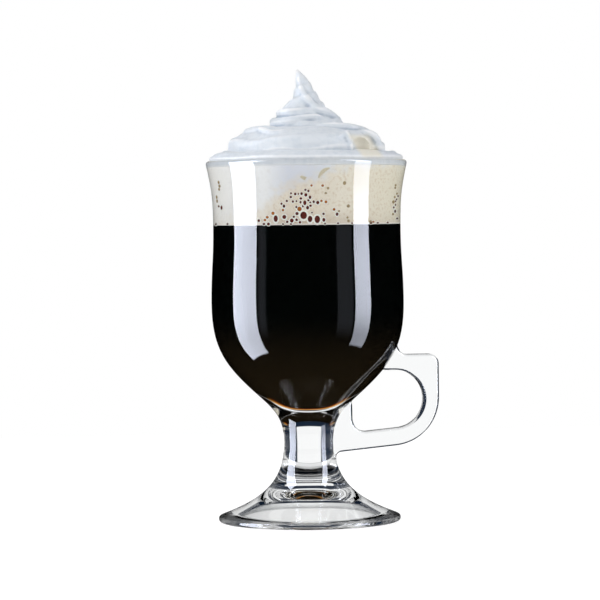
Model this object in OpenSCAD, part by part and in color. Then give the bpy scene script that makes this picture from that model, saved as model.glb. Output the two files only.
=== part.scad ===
// Footed glass mug for irish coffee, with its filling.
// Millimetres, +Z up. The origin is the centre of the foot's standing ring, and the handle is on +X.

/* [Bowl] */
// Height of the glass, from the table to the lip
glass_h = 144; // [141:0.5:148]
// Outer diameter at the lip
lip_d = 80.2; // [78:0.2:84]
// Slope of the flared wall below the lip, in degrees from vertical
lip_flare = 12.5; // [8:0.5:16]
// Outer diameter at the waist of the bowl
waist_d = 74.8; // [72:0.2:76]
// Height of the waist of the bowl
waist_z = 117.5; // [112:0.5:120]
// Outer diameter at the belly of the bowl
belly_d = 76.8; // [75:0.2:79]
// Height of the belly of the bowl
belly_z = 87; // [84:0.5:91]
// Outer diameter of the bowl's underside, where its curve turns into the stem
turn_d = 40; // [38.6:0.2:41.4]
// Height at which the underside turns into the stem
turn_z = 50.3; // [49.3:0.1:51.3]
// Slope of the underside at that turn, in degrees from vertical
turn_slope = 48; // [45:0.5:51]
// Wall at the lip
lip_wall = 2.6; // [2:0.1:3.2]
// Wall at the waist
waist_wall = 3.4; // [2.6:0.1:4]
// Wall at the belly
belly_wall = 3.7; // [3:0.1:4.4]
// Wall of the underside, square to its slope
turn_wall = 8; // [7:0.1:9]
// Height of the inside of the bowl's floor above the table
floor_z = 47.4; // [46.4:0.1:48.4]

/* [Stem and foot] */
// Diameter at the narrowest place of the stem
stem_d = 20; // [18.6:0.2:21.6]
// Height of the narrowest place of the stem
stem_z = 31.5; // [30:0.5:33]
// Height of the face where the bowl stands on the stem
bowl_seam_z = 39.6; // [38.6:0.1:40.6]
// Height of the face where the stem stands on the foot
foot_seam_z = 20.6; // [19:0.1:22]
// Outer diameter of the foot
foot_d = 72.8; // [69:0.2:78]
// Slope of the foot's top near its edge, in degrees from horizontal
foot_slope = 21; // [20:0.5:24]
// Radius of the foot's rounded edge
foot_edge_r = 1.2; // [0.9:0.05:1.4]
// Width of the flat ring on which the glass stands
foot_ring_w = 4; // [2:0.1:5]
// Height of the hollow under the foot
kick_h = 11.5; // [9:0.5:12]
// Slope at which that hollow leaves the ring, in degrees from horizontal
kick_slope = 22; // [18:1:24]

/* [Handle] */
// Height of the handle's flat top edge
handle_top_z = 66; // [65:0.1:67]
// Reach of the handle's outer edge beyond the belly
handle_reach = 14.1; // [12:0.1:16]
// Thickness of the handle from front to back
handle_t = 8; // [7:0.1:10]
// Radius of the handle's rounded long edges
handle_edge_r = 1.7; // [1:0.1:2.2]
// Radius of the outer top corner
handle_corner_r = 3.8; // [3:0.1:4.5]
// Radius of the outer lower curve
handle_sweep_r = 19.5; // [18.5:0.1:20.5]
// Distance from the flat top edge down to the centre of the outer lower curve
handle_sweep_drop = 17.1; // [16.5:0.1:17.6]
// Radius of the round side of the finger loop
loop_r = 11.7; // [11.2:0.1:12]
// Width of the upper arm, from its top edge to the loop
handle_arm_w = 6.1; // [5.6:0.1:6.6]
// Width of the handle at the loop's outer side
handle_side_w = 6.1; // [5.6:0.1:6.6]
// Slant of the lower arm, in degrees from horizontal
handle_slant = 5.4; // [4:0.1:7]
// Width of the web between the stem and the finger loop
web_w = 7.3; // [6.8:0.1:8]
// Radius of the loop's lower inner corner
loop_corner_r = 5.5; // [4.5:0.1:6]
// Radius of the flare where the upper arm runs into the bowl
root_r = 4.2; // [3.4:0.1:4.6]
// Radius of the flare where the lower arm runs into the stem
tip_r = 2; // [1.4:0.1:2.6]
// Widening of the handle at its roots, on each face
root_widening = 1.2; // [0.6:0.1:1.6]

/* [Filling] */
// Distance from the lip down to the coffee's surface
coffee_drop = 25.5; // [20:0.5:32]
// Distance from the lip down to the foam's top
foam_drop = 2.4; // [1.6:0.1:4]
// Height above the lip of the flat on which the swirl of cream sits
bed_rise = 5; // [4:0.1:7]
// Distance by which the cream stays inside the glass's outer edge
cream_inset = 1.1; // [0.9:0.1:1.4]
// Height of the whole cream above the lip
cream_h = 36.4; // [28:0.2:42]
// Diameter of the swirl at its base
swirl_d = 62; // [56:0.5:66]
// Sideways lean of the swirl's tip
peak_lean = 4; // [0:0.1:6]
// Height that the spiral fold climbs in one turn
fold_pitch = 6.2; // [5:0.1:8]
// Relief of the folds in the cream
fold_relief = 1.4; // [0.6:0.1:1.8]

/* [Fits] */
// Gap between the glass and what it holds
fill_gap = 0.05; // [0.02:0.01:0.1]
// Gap between the handle's roots and the glass that they are sealed to
root_gap = 0.05; // [0.02:0.01:0.1]

/* [Hidden] */
$fn = 96;

// Length of a curve's tangent arms, as a share of the straight line between its ends
arm_share = 0.43;
// Steps in each curve of a profile, and in each arc of the handle
curve_steps = 14;
arc_steps = 7;
// Least height between two points of a profile
least_step = 0.02;

// One point of a cubic curve that leaves p at angle a and reaches q at angle b
function curve_point(p, a, q, b, t, arm) =
    p * pow(1 - t, 3)
    + (p + arm * [cos(a), sin(a)]) * 3 * t * pow(1 - t, 2)
    + (q - arm * [cos(b), sin(b)]) * 3 * t * t * (1 - t)
    + q * pow(t, 3);
// The curve from p to q, without its last point
function curve(p, a, q, b, steps = curve_steps) =
    [for (i = [0:steps - 1]) curve_point(p, a, q, b, i / steps, arm_share * norm(q - p))];
// Points of an arc, with both ends
function arc(centre, r, a, b, steps = arc_steps) =
    [for (i = [0:steps]) centre + r * [cos(a + (b - a) * i / steps), sin(a + (b - a) * i / steps)]];
// Points along a straight line, with both ends
function line(p, q, steps) = [for (i = [0:steps]) p + (q - p) * i / steps];
// A list in the opposite order, and a list without its first or last entries
function backwards(list) = [for (i = [len(list) - 1:-1:0]) list[i]];
function trimmed(list, first, last) = [for (i = [first:len(list) - 1 - last]) list[i]];
// Radius of a rising profile at a height, and height of a widening one at a radius
function radius_at(profile, z) = lookup(z, [for (p = profile) [p[1], p[0]]]);
function height_at(profile, r) = lookup(r, profile);
// The stretch of a rising profile between two heights
function stretch(profile, low, high) = concat(
    [[radius_at(profile, low), low]],
    [for (p = profile) if (p[1] > low + least_step && p[1] < high - least_step) p],
    [[radius_at(profile, high), high]]);

// Outside of the glass, from the foot's edge up to the lip
foot_edge = [foot_d / 2 - foot_edge_r, foot_edge_r];
foot_shoulder = foot_edge + foot_edge_r * [sin(foot_slope), cos(foot_slope)];
stem_waist = [stem_d / 2, stem_z];
bowl_turn = [turn_d / 2, turn_z];
bowl_belly = [belly_d / 2, belly_z];
bowl_waist = [waist_d / 2, waist_z];
lip_r = lip_wall / 2;
lip_centre = [lip_d / 2 - lip_r, glass_h - lip_r];
lip_across = lip_r * [cos(lip_flare), -sin(lip_flare)];
outside = concat(
    curve(foot_shoulder, 180 - foot_slope, stem_waist, 90, 2 * curve_steps),
    curve(stem_waist, 90, bowl_turn, 90 - turn_slope),
    curve(bowl_turn, 90 - turn_slope, bowl_belly, 90),
    curve(bowl_belly, 90, bowl_waist, 90),
    curve(bowl_waist, 90, lip_centre + lip_across, 90 - lip_flare),
    [lip_centre + lip_across]);

// Inside of the bowl, from the middle of its floor up to the lip
floor_turn = bowl_turn + turn_wall * [-cos(turn_slope), sin(turn_slope)];
belly_inside = bowl_belly - [belly_wall, 0];
waist_inside = bowl_waist - [waist_wall, 0];
inside = concat(
    curve([0, floor_z], 0, floor_turn, 90 - turn_slope),
    curve(floor_turn, 90 - turn_slope, belly_inside, 90),
    curve(belly_inside, 90, waist_inside, 90),
    curve(waist_inside, 90, lip_centre - lip_across, 90 - lip_flare),
    [lip_centre - lip_across]);

// A solid between a stack of rings with as many points each, closed at both ends
module skin(rings) {
    n = len(rings[0]);
    last = len(rings) - 1;
    polyhedron(
        points = [for (ring = rings) each ring],
        faces = concat(
            [[for (i = [0:n - 1]) i]],
            [for (k = [0:last - 1], i = [0:n - 1]) [k * n + i, (k + 1) * n + i, (k + 1) * n + (i + 1) % n]],
            [for (k = [0:last - 1], i = [0:n - 1]) [k * n + i, (k + 1) * n + (i + 1) % n, k * n + (i + 1) % n]],
            [[for (i = [n - 1:-1:0]) last * n + i]]));
}

// The bowl is open at the top, and its base is a flat face on the stem
module bowl() {
    color("azure", 0.4)
    rotate_extrude()
    polygon(concat(
        [[0, bowl_seam_z]],
        stretch(outside, bowl_seam_z, outside[len(outside) - 1][1]),
        trimmed(arc(lip_centre, lip_r, -lip_flare, 180 - lip_flare), 1, 1),
        backwards(inside)));
}

module stem() {
    color("lightcyan", 0.5)
    rotate_extrude()
    polygon(concat(
        [[0, foot_seam_z]],
        stretch(outside, foot_seam_z, bowl_seam_z),
        [[0, bowl_seam_z]]));
}

// The foot stands on a flat ring round a domed hollow
ring_inner_r = foot_edge[0] - foot_ring_w;
module foot() {
    color("paleturquoise", 0.5)
    rotate_extrude()
    polygon(concat(
        [[0, kick_h]],
        backwards(curve([ring_inner_r, 0], 180 - kick_slope, [0, kick_h], 180)),
        trimmed(arc(foot_edge, foot_edge_r, -90, 90 - foot_slope), 0, 1),
        stretch(outside, foot_shoulder[1], foot_seam_z),
        [[0, foot_seam_z]]));
}

// Handle, as two matched rows of points: along the finger loop and along the outer edge
reach_x = belly_d / 2 + handle_reach;
arm_low_z = handle_top_z - handle_arm_w;
loop_centre = [reach_x - handle_side_w - loop_r, arm_low_z - loop_r];
sweep_centre = [reach_x - handle_sweep_r, handle_top_z - handle_sweep_drop];
corner_centre = [reach_x - handle_corner_r, handle_top_z - handle_corner_r];
// The lower arm slants down towards the stem from the ends of the two round sides
slant_down = [sin(handle_slant), -cos(handle_slant)];
loop_low = loop_centre + loop_r * slant_down;
sweep_low = sweep_centre + handle_sweep_r * slant_down;
function on_slant(start, x) = [x, start[1] - (start[0] - x) * tan(handle_slant)];
// Web between the stem and the loop, with its round corner
web_x = stem_d / 2 + web_w;
web_low = on_slant(loop_low, web_x + loop_corner_r * (1 + sin(handle_slant)));
web_corner = web_low - loop_corner_r * slant_down;
web_top_z = height_at(stretch(outside, stem_z, belly_z), web_x) + root_r;
// Flares of the two roots
arm_root_x = radius_at(outside, handle_top_z + root_r);
flare_centre = [arm_root_x + root_r, handle_top_z + root_r];
loop_root_x = radius_at(outside, arm_low_z);
tip_x = radius_at(outside, on_slant(sweep_low, stem_d / 2)[1] - tip_r);
tip_start = on_slant(sweep_low, tip_x + tip_r * (1 - sin(handle_slant)));
tip_centre = tip_start + tip_r * slant_down;

// The places round the loop's round side that face the outer corner's ends, as angles
corner_from = 44;
corner_to = 32;
loop_row = concat(
    [[loop_root_x - root_r, arm_low_z]],
    line([loop_root_x, arm_low_z], [loop_centre[0], arm_low_z], arc_steps),
    trimmed(arc(loop_centre, loop_r, 90, corner_from), 1, 1),
    arc(loop_centre, loop_r, corner_from, corner_to),
    trimmed(arc(loop_centre, loop_r, corner_to, 0, 4), 1, 1),
    arc(loop_centre, loop_r, 0, handle_slant - 90, 2 * arc_steps),
    trimmed(line(loop_low, web_low, arc_steps), 1, 1),
    arc(web_corner, loop_corner_r, handle_slant - 90, -180, 2 * arc_steps),
    [[web_x, web_top_z], [web_x - root_r - tip_r, web_top_z]]);
outer_row = concat(
    [[arm_root_x - root_r, flare_centre[1]]],
    arc(flare_centre, root_r, 180, 270),
    trimmed(line([flare_centre[0], handle_top_z], [corner_centre[0], handle_top_z], arc_steps), 1, 1),
    arc(corner_centre, handle_corner_r, 90, 0),
    trimmed(line([reach_x, corner_centre[1]], [reach_x, sweep_centre[1]], 4), 1, 1),
    arc(sweep_centre, handle_sweep_r, 0, handle_slant - 90, 2 * arc_steps),
    trimmed(line(sweep_low, on_slant(sweep_low, web_low[0]), arc_steps), 1, 1),
    trimmed(line(on_slant(sweep_low, web_low[0]), tip_start, arc_steps), 0, 1),
    arc(tip_centre, tip_r, 90 + handle_slant, 180),
    [[tip_x - tip_r, tip_centre[1]], [tip_x - root_r - tip_r, tip_centre[1]]]);

// How much of the widening a section has, from the root at either end of the rows
last_section = len(loop_row) - 1;
function flare_share(i) = i <= 1 ? 1 : i > arc_steps ? 0 : 1 - sqrt(1 - pow(1 - (i - 1) / arc_steps, 2));
function half_thickness(i) =
    handle_t / 2 + root_widening * (flare_share(i) + flare_share(last_section - i));
// One section: a rectangle with round corners, from p on the loop to q on the outer edge.
// Each corner is [0 at p or 1 at q, front or back, the angle at which its arc starts].
section_corners = [[0, 1, 180], [1, 1, 90], [1, -1, 0], [0, -1, -90]];
function section(p, q, half_t, steps = 3) = let (way = (q - p) / norm(q - p))
    [for (corner = section_corners, k = [0:steps])
        let (
            turn = corner[2] - 90 * k / steps,
            along = corner[0] == 0 ? handle_edge_r : norm(q - p) - handle_edge_r,
            at = p + way * (along + handle_edge_r * cos(turn)))
        [at[0], corner[1] * (half_t - handle_edge_r) + handle_edge_r * sin(turn), at[1]]];

module glass_core(grown) {
    rotate_extrude()
    polygon(concat(
        [[0, foot_seam_z]],
        [for (p = stretch(outside, foot_seam_z, belly_z)) p + [grown, 0]],
        [[0, belly_z]]));
}

module handle() {
    color("powderblue", 0.6)
    difference() {
        skin([for (i = [0:last_section]) section(loop_row[i], outer_row[i], half_thickness(i))]);
        glass_core(root_gap);
    }
}

// What the glass holds stays a gap clear of its wall
held = [for (p = inside) [max(p[0] - fill_gap, 0), p[1] + fill_gap]];
coffee_z = glass_h - coffee_drop;
foam_top_z = glass_h - foam_drop;
module coffee() {
    color([0.08, 0.04, 0.02])
    rotate_extrude()
    polygon(concat(stretch(held, floor_z + fill_gap, coffee_z), [[0, coffee_z]]));
}

module foam_head() {
    color([0.87, 0.82, 0.73])
    rotate_extrude()
    polygon(concat([[0, coffee_z]], stretch(held, coffee_z, foam_top_z), [[0, foam_top_z]]));
}

// Whipped cream: a bed that laps onto the lip, and a swirl that climbs to a leaning tip
ring_points = 48;
bed_top_z = glass_h + bed_rise;
bed_flat_r = swirl_d / 2 + fold_relief;
bed_r = lip_d / 2 - cream_inset;
// Round the bed, its edge comes in by up to the relief of the folds
function lobe(a) = fold_relief * (0.5 + 0.3 * sin(3 * a + 50) + 0.2 * sin(7 * a));
function round_ring(r, z) = [for (i = [0:ring_points - 1]) let (a = 360 * i / ring_points)
    [r * cos(a), r * sin(a), z]];
lip_lap = arc(lip_centre, lip_r + fill_gap, 180 - lip_flare, 90, 4);
bed_edge = [for (a = [0:18:90]) [
    bed_flat_r + (bed_r - bed_flat_r) * cos(a),
    glass_h + fill_gap + (bed_top_z - glass_h - fill_gap) * sin(a),
    cos(a)]];
module cream_bed() {
    color([0.93, 0.94, 0.95])
    skin(concat(
        [for (p = stretch(held, foam_top_z, held[len(held) - 1][1])) round_ring(p[0], p[1])],
        [for (p = trimmed(lip_lap, 1, 0)) round_ring(p[0], p[1])],
        [for (p = bed_edge) [for (i = [0:ring_points - 1]) let (a = 360 * i / ring_points)
            (p[0] - lobe(a) * p[2]) * [cos(a), sin(a), 0] + [0, 0, p[1]]]]));
}

// Radius of the swirl by height, both as shares of the base radius and of the whole height
swirl_shares = [
    [0, 1], [0.13, 0.92], [0.23, 0.81], [0.29, 0.62], [0.34, 0.46], [0.43, 0.36],
    [0.53, 0.28], [0.64, 0.2], [0.74, 0.13], [0.84, 0.065], [0.93, 0.03], [1, 0.01]
];
swirl_rings = 26;
swirl_h = cream_h - bed_rise;
// Bulge of the fold at an angle and a height: a round ridge between two creases
function fold(a, z) = let (turn = z / fold_pitch - a / 360, u = turn - floor(turn)) sqrt(1 - pow(2 * u - 1, 2));
function swirl_point(a, s) = let (
        fold_share = min(1, 4 * s) * pow(1 - s, 0.6),
        r = swirl_d / 2 * lookup(s, swirl_shares)
            + fold_relief * fold_share * (fold(a, s * swirl_h) - 1) * min(1, 4 * lookup(s, swirl_shares)))
    [r * cos(a) - peak_lean * pow(s, 3), r * sin(a), bed_top_z + s * swirl_h];
module cream_swirl() {
    color([0.96, 0.97, 0.98])
    skin([for (k = [0:swirl_rings]) [for (i = [0:ring_points - 1])
        swirl_point(360 * i / ring_points, k / swirl_rings)]]);
}

bowl();
stem();
foot();
handle();
coffee();
foam_head();
cream_bed();
cream_swirl();
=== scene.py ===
from functools import reduce
import math

import bpy
import numpy
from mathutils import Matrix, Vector, noise


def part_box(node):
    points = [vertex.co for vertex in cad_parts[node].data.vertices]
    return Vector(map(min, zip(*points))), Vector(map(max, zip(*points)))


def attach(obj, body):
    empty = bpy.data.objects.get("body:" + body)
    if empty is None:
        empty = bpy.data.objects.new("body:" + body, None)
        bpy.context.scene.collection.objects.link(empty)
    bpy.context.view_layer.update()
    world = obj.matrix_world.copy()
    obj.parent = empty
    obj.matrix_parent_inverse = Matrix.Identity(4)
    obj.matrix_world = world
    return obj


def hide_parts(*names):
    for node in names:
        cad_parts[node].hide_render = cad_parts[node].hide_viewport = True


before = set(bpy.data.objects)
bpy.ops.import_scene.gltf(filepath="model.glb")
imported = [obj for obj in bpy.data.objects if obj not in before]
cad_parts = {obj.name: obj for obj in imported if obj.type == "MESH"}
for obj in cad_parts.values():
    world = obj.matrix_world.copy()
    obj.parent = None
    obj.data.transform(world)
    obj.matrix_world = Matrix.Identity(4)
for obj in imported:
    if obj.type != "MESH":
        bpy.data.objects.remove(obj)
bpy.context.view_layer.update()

# Sizes of the glass, in metres and degrees. The axis of the glass is Z, and the handle is on +X.
GLASS_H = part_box("bowl")[1].z
LIP_R = 0.04004
LIP_WALL = 0.0026
LIP_FLARE = 12.5
WAIST_R, WAIST_Z, WAIST_WALL = 0.0374, 0.1175, 0.0034
BELLY_R, BELLY_Z, BELLY_WALL = 0.0384, 0.087, 0.0037
TURN_R, TURN_Z, TURN_WALL = 0.020, 0.0503, 0.008
TURN_SLOPE = 48
FLOOR_Z = 0.0474
STEM_R, STEM_Z = 0.010, 0.0315
FOOT_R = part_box("foot")[1].x
FOOT_SLOPE = 21
FOOT_EDGE_R = 0.0012
FOOT_RING_W = 0.004
KICK_H, KICK_SLOPE = 0.0115, 22

# How far the handle keeps inside its solid's reach, and how near points are to be merged
INSIDE = 0.00002
MERGE = 0.000002

# Handle
REACH_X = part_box("handle")[1].x - INSIDE
HANDLE_TOP_Z = 0.066
HANDLE_T = 0.008
HANDLE_EDGE_R = 0.0017
CORNER_R = 0.0038
SWEEP_R, SWEEP_DROP = 0.0195, 0.0171
LOOP_R, ARM_W, SIDE_W = 0.0117, 0.0061, 0.0061
SLANT = 5.4
WEB_W, WEB_CORNER_R = 0.0073, 0.0055
ROOT_R, TIP_R = 0.0042, 0.002
# Where the handle's edges meet the glass, how far its blank runs on past it, and how deep its
# roots are sealed into the wall
ROOT_TOP_X, ROOT_LOOP_X, ROOT_LOW_X = 0.0358, 0.0296, 0.0105
WEB_TOP_Z = 0.0478
ROOT_OVERRUN = 0.003
ROOT_DEPTH = 0.0015

# Filling
COFFEE_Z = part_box("coffee")[1].z
FOAM_TOP_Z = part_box("foam_head")[1].z

# How far round the glass the viewer stands
VIEW_TURN = math.radians(7)

# Steps of a full turn of glass and of cream, and along arcs and the rounded edge of the handle
TURN_STEPS, MOUND_STEPS = 192, 64
ARC_STEPS, SWEEP_STEPS, LOOP_STEPS = 12, 24, 36
EDGE_STEPS = 4
# Points between two knots of a profile, and how far a knot's pull reaches, as a share of the
# way to the next
KNOT_STEPS = 16
PULL_SHARE = 0.43
# Angle in degrees from which an edge of the glass stays sharp
SHARP_ANGLE = 32


def only(obj):
    """Selects one object and nothing else."""
    for other in bpy.context.selected_objects:
        other.select_set(False)
    obj.select_set(True)
    bpy.context.view_layer.objects.active = obj


def edit_all(obj):
    """Opens an object's mesh with all of it selected."""
    only(obj)
    bpy.ops.object.mode_set(mode="EDIT")
    bpy.ops.mesh.select_all(action="SELECT")


def as_mesh(curve):
    """Turns a curve into a mesh."""
    only(curve)
    bpy.ops.object.convert(target="MESH")
    return bpy.context.object


def join_parts(name, parts):
    """Joins meshes as one object."""
    only(parts[0])
    for part in parts[1:]:
        part.select_set(True)
    bpy.ops.object.join()
    joined = bpy.context.object
    joined.name = name
    return joined


def seal(obj):
    """Merges a mesh's double points and turns its faces outwards."""
    edit_all(obj)
    bpy.ops.mesh.remove_doubles(threshold=MERGE)
    bpy.ops.mesh.normals_make_consistent(inside=False)
    bpy.ops.object.mode_set(mode="OBJECT")


def polar(angle, length=1.0):
    """A step in the XZ plane, at an angle from +X towards +Z."""
    return Vector((math.cos(math.radians(angle)), math.sin(math.radians(angle)))) * length


def profile(name, knots):
    """A curve through knots (point, angle in, angle out) in the plane of X and Z."""
    bpy.ops.curve.primitive_bezier_curve_add()
    curve = bpy.context.object
    curve.name = curve.data.name = name
    curve.data.dimensions = "3D"
    curve.data.resolution_u = KNOT_STEPS
    spline = curve.data.splines[0]
    spline.bezier_points.add(len(knots) - 2)
    last = len(knots) - 1
    for i, (point, angle_in, angle_out) in enumerate(knots):
        before = (point - knots[max(i - 1, 0)][0]).length
        after = (knots[min(i + 1, last)][0] - point).length
        left = point - polar(angle_in, PULL_SHARE * before)
        right = point + polar(angle_out, PULL_SHARE * after)
        knot = spline.bezier_points[i]
        knot.handle_left_type = knot.handle_right_type = "FREE"
        knot.co = (point.x, 0, point.y)
        knot.handle_left = (left.x, 0, left.y)
        knot.handle_right = (right.x, 0, right.y)
    return as_mesh(curve)


def revolve(outline, steps=TURN_STEPS):
    """Turns a profile whose ends lie on the axis into a closed solid."""
    edit_all(outline)
    bpy.ops.mesh.spin(steps=steps, angle=math.tau, center=(0, 0, 0), axis=(0, 0, 1))
    bpy.ops.object.mode_set(mode="OBJECT")
    seal(outline)
    bpy.ops.object.shade_smooth()
    return outline


def cut_level(obj, z, keep_below):
    """Cuts a solid flat at a height and closes the cut."""
    edit_all(obj)
    bpy.ops.mesh.bisect(
        plane_co=(0, 0, z), plane_no=(0, 0, 1), use_fill=True,
        clear_outer=keep_below, clear_inner=not keep_below)
    bpy.ops.object.mode_set(mode="OBJECT")
    return obj


def apply_modifier(obj, kind, **settings):
    """Adds a modifier, sets it and applies it."""
    only(obj)
    bpy.ops.object.modifier_add(type=kind)
    modifier = obj.modifiers[-1]
    for key, value in settings.items():
        setattr(modifier, key, value)
    bpy.ops.object.modifier_apply(modifier=modifier.name)


# Knots of the glass, going out along the underside, up the outside and down the inside
foot_edge = Vector((FOOT_R - FOOT_EDGE_R, FOOT_EDGE_R))
lip = Vector((LIP_R - LIP_WALL / 2, GLASS_H - LIP_WALL / 2))
wall_turn = Vector((TURN_R, TURN_Z))


def inside_knots(grown):
    """The inside of the bowl from the middle of its floor up to the lip, grown into the wall."""
    floor_turn = wall_turn + polar(90 + TURN_SLOPE, TURN_WALL - grown)
    return [
        (Vector((0, FLOOR_Z - grown)), 0, 0),
        (floor_turn, 90 - TURN_SLOPE, 90 - TURN_SLOPE),
        (Vector((BELLY_R - BELLY_WALL + grown, BELLY_Z)), 90, 90),
        (Vector((WAIST_R - WAIST_WALL + grown, WAIST_Z)), 90, 90),
        (lip + polar(180 - LIP_FLARE, LIP_WALL / 2 - grown), 90 - LIP_FLARE, 90 - LIP_FLARE),
    ]


def outside_knots(depth):
    """The outside from the edge of the foot up to the waist, or a skin at a depth inside it."""
    return [
        (foot_edge + polar(90 - FOOT_SLOPE, FOOT_EDGE_R - depth), 180 - FOOT_SLOPE, 180 - FOOT_SLOPE),
        (Vector((STEM_R - depth, STEM_Z)), 90, 90),
        (wall_turn + polar(90 + TURN_SLOPE, depth), 90 - TURN_SLOPE, 90 - TURN_SLOPE),
        (Vector((BELLY_R - depth, BELLY_Z)), 90, 90),
        (Vector((WAIST_R - depth, WAIST_Z)), 90, 90),
    ]


def make_glass_body():
    """Bowl, stem and foot, which are pressed as one piece."""
    underside = [
        (Vector((0, KICK_H)), 0, 0),
        (Vector((foot_edge.x - FOOT_RING_W, 0)), -KICK_SLOPE, 0),
        (Vector((foot_edge.x, 0)), 0, 0),
        (foot_edge + polar(0, FOOT_EDGE_R), 90, 90),
    ]
    rim = [
        (lip + polar(-LIP_FLARE, LIP_WALL / 2), 90 - LIP_FLARE, 90 - LIP_FLARE),
        (lip + polar(90 - LIP_FLARE, LIP_WALL / 2), 180 - LIP_FLARE, 180 - LIP_FLARE),
    ]
    inside = [(point, angle + 180, angle + 180) for point, angle, _ in reversed(inside_knots(0))]
    return revolve(profile("mug_glass", underside + outside_knots(0) + rim + inside))


def make_core(depth):
    """The glass without its skin and its hollows, to cut off what is sunk too deep."""
    skin = outside_knots(depth)
    low, high = skin[0][0].y, skin[-1][0].y
    skin[0] = (skin[0][0], 0, skin[0][2])
    skin[-1] = (skin[-1][0], skin[-1][1], 180)
    ends = (Vector((0, low)), 0, 0), (Vector((0, high)), 180, 180)
    return revolve(profile("core", [ends[0]] + skin + [ends[1]]))


def arc(centre, radius, start, end, steps=ARC_STEPS):
    """Points along an arc in the XZ plane, between two angles from +X."""
    return [centre + polar(start + (end - start) * i / steps, radius) for i in range(steps + 1)]


def on_slant(start, x):
    """The point at x on a line through a start that falls with the slanted arm."""
    return Vector((x, start.y - (start.x - x) * math.tan(math.radians(SLANT))))


def handle_outline():
    """The closed outline of the handle, whose roots end inside the glass."""
    down = polar(SLANT - 90)
    loop_centre = Vector((REACH_X - SIDE_W - LOOP_R, HANDLE_TOP_Z - ARM_W - LOOP_R))
    sweep_centre = Vector((REACH_X - SWEEP_R, HANDLE_TOP_Z - SWEEP_DROP))
    corner = Vector((REACH_X - CORNER_R, HANDLE_TOP_Z - CORNER_R))
    loop_low = loop_centre + down * LOOP_R
    sweep_low = sweep_centre + down * SWEEP_R
    web_x = STEM_R + WEB_W
    web_low = on_slant(loop_low, web_x + WEB_CORNER_R * (1 + math.sin(math.radians(SLANT))))
    web_corner = web_low - down * WEB_CORNER_R
    flare = Vector((ROOT_TOP_X + ROOT_R, HANDLE_TOP_Z + ROOT_R))
    tip_start = on_slant(sweep_low, ROOT_LOW_X + TIP_R)
    tip = tip_start + down * TIP_R
    outer = (
        [Vector((flare.x - ROOT_R, flare.y + ROOT_OVERRUN))]
        + arc(flare, ROOT_R, 180, 270)
        + arc(corner, CORNER_R, 90, 0)
        + arc(sweep_centre, SWEEP_R, 0, SLANT - 90, SWEEP_STEPS)
        + arc(tip, TIP_R, 90 + SLANT, 180)
        + [Vector((tip.x - TIP_R, tip.y - ROOT_OVERRUN)), Vector((ROOT_OVERRUN, tip.y - ROOT_OVERRUN))])
    inner = (
        [Vector((ROOT_OVERRUN, WEB_TOP_Z + ROOT_OVERRUN)), Vector((web_x, WEB_TOP_Z + ROOT_OVERRUN))]
        + arc(web_corner, WEB_CORNER_R, 180, 270 + SLANT)
        + arc(loop_centre, LOOP_R, SLANT - 90, 90, LOOP_STEPS)
        + [Vector((ROOT_LOOP_X - 2 * ROOT_OVERRUN, HANDLE_TOP_Z - ARM_W))]
        + [Vector((ROOT_LOOP_X - 2 * ROOT_OVERRUN, flare.y + ROOT_OVERRUN))])
    return outer + inner


def make_handle():
    """The handle as a flat outline, thickened and rounded along its edges."""
    points = handle_outline()
    bpy.ops.curve.primitive_bezier_curve_add()
    curve = bpy.context.object
    curve.name = "handle_blank"
    data = curve.data
    data.splines.clear()
    data.dimensions = "2D"
    data.fill_mode = "BOTH"
    spline = data.splines.new("POLY")
    spline.points.add(len(points) - 1)
    for knot, point in zip(spline.points, points):
        knot.co = (point.x, point.y, 0, 1)
    spline.use_cyclic_u = True
    data.offset = -HANDLE_EDGE_R
    data.extrude = HANDLE_T / 2 - HANDLE_EDGE_R
    data.bevel_depth = HANDLE_EDGE_R
    data.bevel_resolution = EDGE_STEPS
    handle = as_mesh(curve)
    seal(handle)
    handle.rotation_euler = (math.pi / 2, 0, 0)
    bpy.ops.object.transform_apply(location=False, rotation=True, scale=False)
    return handle


def make_mug_glass():
    """The whole glass as one piece, with the handle's roots melted into its wall."""
    glass = make_glass_body()
    handle = make_handle()
    core = make_core(ROOT_DEPTH)
    apply_modifier(handle, "BOOLEAN", operation="DIFFERENCE", object=core, solver="EXACT")
    apply_modifier(glass, "BOOLEAN", operation="UNION", object=handle, solver="EXACT")
    bpy.data.objects.remove(handle)
    bpy.data.objects.remove(core)
    only(glass)
    bpy.ops.object.shade_smooth_by_angle(angle=math.radians(SHARP_ANGLE))
    return glass


# The drink stands a hair into the glass wall, so that no film of air shows between them
WET = 0.00003
# How far the foam runs on up into the cream, and down into the coffee
FOAM_LAP, FOAM_SINK = 0.0014, 0.001


def make_held(name, grown):
    """What would fill the bowl to the lip."""
    top = [(Vector((0, GLASS_H - LIP_WALL)), 180, 180)]
    knots = inside_knots(grown)
    point, angle, _ = knots[-1]
    return revolve(profile(name, knots[:-1] + [(point, angle, 180)] + top))


def make_coffee():
    """The drink up to the foam."""
    return cut_level(make_held("coffee_fill", WET), COFFEE_Z, keep_below=True)


def make_foam():
    """The foam between the coffee and the cream."""
    foam = cut_level(make_held("foam_fill", WET / 2), FOAM_TOP_Z + FOAM_LAP, keep_below=True)
    return cut_level(foam, COFFEE_Z - FOAM_SINK, keep_below=False)


# Whipped cream, in millimetres as the viewer sees it: x to the right, y away, z up
MM = 0.001
# How finely the cream is run together, and how often it is smoothed after that
CREAM_VOXEL, CREAM_SMOOTH = 0.0006, 3
# How often the measure of the creases is evened out, and the hollow that counts as a full crease
CREASE_BLUR, CREASE_FULL = 3, 0.00006
# How a roll of cream runs out: how far on, as a share of its last step, how far in, as a share of
# its place, how far down, and how thin
RUN_ON_SHARE, RUN_IN_SHARE, RUN_DOWN, RUN_THIN = 0.6, 0.93, 1.0, 0.1
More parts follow.
